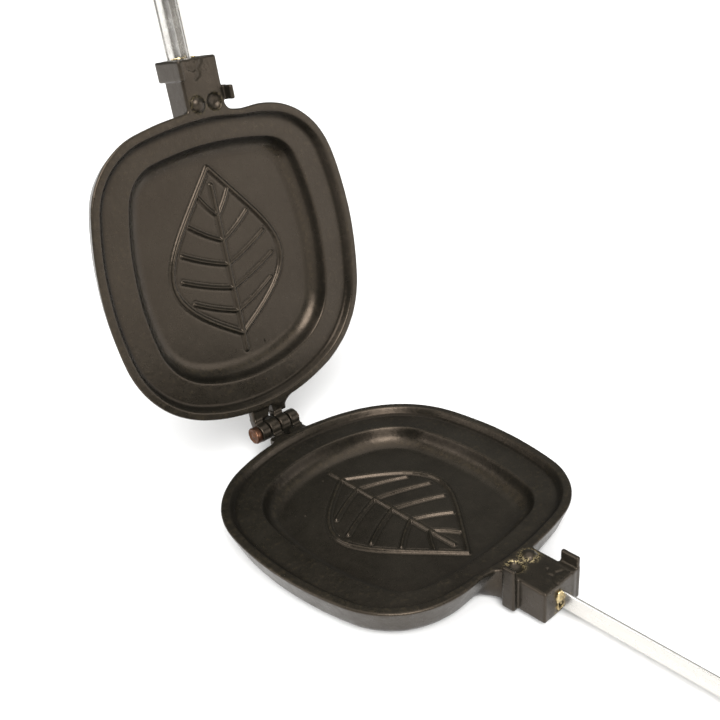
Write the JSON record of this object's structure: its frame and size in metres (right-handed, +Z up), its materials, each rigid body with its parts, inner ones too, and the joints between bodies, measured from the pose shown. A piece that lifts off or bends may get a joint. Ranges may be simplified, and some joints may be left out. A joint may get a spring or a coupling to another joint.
{
  "type": "pie iron",
  "caption": "Hinged cast iron pie iron with two hollow plates on long angle rods, split wooden grips and a wire latch.",
  "frame": {"origin": "centre of the lower plate's flat underside, on the surface it rests on", "axes": "+Z up, -Y toward the lower grip, hinge pin along X behind the plates, at rest fully open"},
  "size_m": [0.114, 0.7885, 0.7123],
  "materials": {
    "seasoned_iron": "seasoned sand casting, satin, fine pebble texture",
    "copper_rivet": "dull copper coloured rivet with a bright centre",
    "bright_steel": "bright plated folded steel",
    "braze": "rough bright braze",
    "grip_wood": "turned hardwood, oiled",
    "rivet_steel": "domed steel rivet heads",
    "latch_steel": "zinc plated wire"
  },
  "bodies": {
    "lower_half": {"lower_plate": "seasoned_iron", "hinge_pin": "copper_rivet", "lower_rod": "bright_steel", "lower_braze": "braze", "lower_grip": "grip_wood", "lower_grip_rivets": "rivet_steel"},
    "upper_half": {"upper_plate": "seasoned_iron", "upper_rod": "bright_steel", "upper_braze": "braze", "upper_grip": "grip_wood", "upper_grip_rivets": "rivet_steel"},
    "latch": {"latch_wire": "latch_steel"}
  },
  "joints": [
    {"name": "hinge", "type": "hinge", "parent": "lower_half", "child": "upper_half", "pos_m": [0, 0.06785, 0.01415], "axis": [1, 0, 0], "range_deg": [0, 96]},
    {"name": "latch_swing", "type": "hinge", "parent": "upper_half", "child": "latch", "pos_m": [0, 0.14665, 0.70168], "axis": [1, 0, 0], "range_deg": [0, 246.6]}
  ]
}
